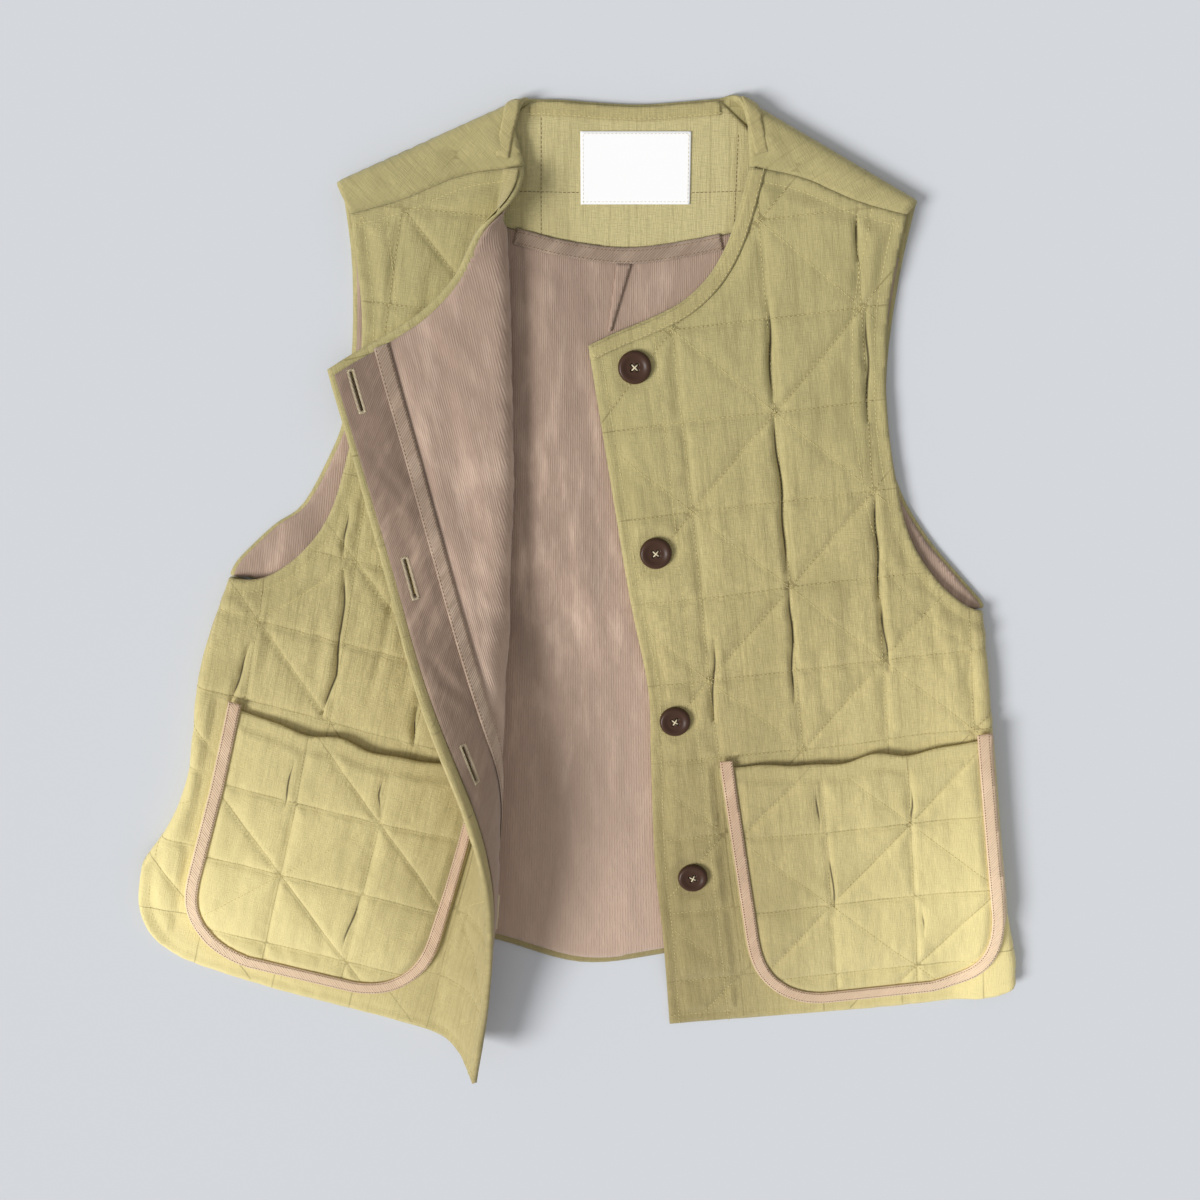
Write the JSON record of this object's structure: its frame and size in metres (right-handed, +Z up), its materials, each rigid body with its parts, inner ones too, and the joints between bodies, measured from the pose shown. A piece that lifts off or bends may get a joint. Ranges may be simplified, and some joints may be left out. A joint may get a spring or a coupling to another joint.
{
  "type": "quilted waistcoat",
  "caption": "Quilted linen waistcoat laid open and flat, with patch pockets, buttons, bound neck, cord lining and one front folded back like a lapel.",
  "frame": {"origin": "on the surface it lies on, under the middle of its outline", "axes": "+Z up from the surface, +Y towards the neck, +X towards the wearer's left front, which is on the right here"},
  "size_m": [0.6502, 0.6944, 0.0683],
  "materials": {
    "quilted_linen": "slubbed yellow-green linen, quilted, matt",
    "cord_lining": "fine dusty rose-brown needlecord, soft nap",
    "bias_tape": "the lining cord cut on the bias, folded and pressed",
    "linen_band": "unquilted slubbed linen, matt",
    "horn_button": "dark brown four-hole button, satin polish",
    "blank_label": "plain white woven label with nothing on it"
  },
  "bodies": {
    "root": {"left_front": "quilted_linen", "right_front": "quilted_linen", "right_front_facing": "cord_lining", "right_front_lining": "cord_lining", "right_front_facing_tape": "bias_tape", "back": "quilted_linen", "back_lining": "cord_lining", "back_lining_pleat": "cord_lining", "back_neck_facing": "linen_band", "back_neck_facing_tape": "bias_tape", "back_neck_band": "linen_band", "label": "blank_label", "left_neck_band": "linen_band", "right_neck_band": "linen_band", "left_pocket": "quilted_linen", "left_pocket_binding": "bias_tape", "right_pocket": "quilted_linen", "right_pocket_binding": "bias_tape", "button_1": "horn_button", "button_2": "horn_button", "button_3": "horn_button", "button_4": "horn_button"}
  },
  "joints": []
}
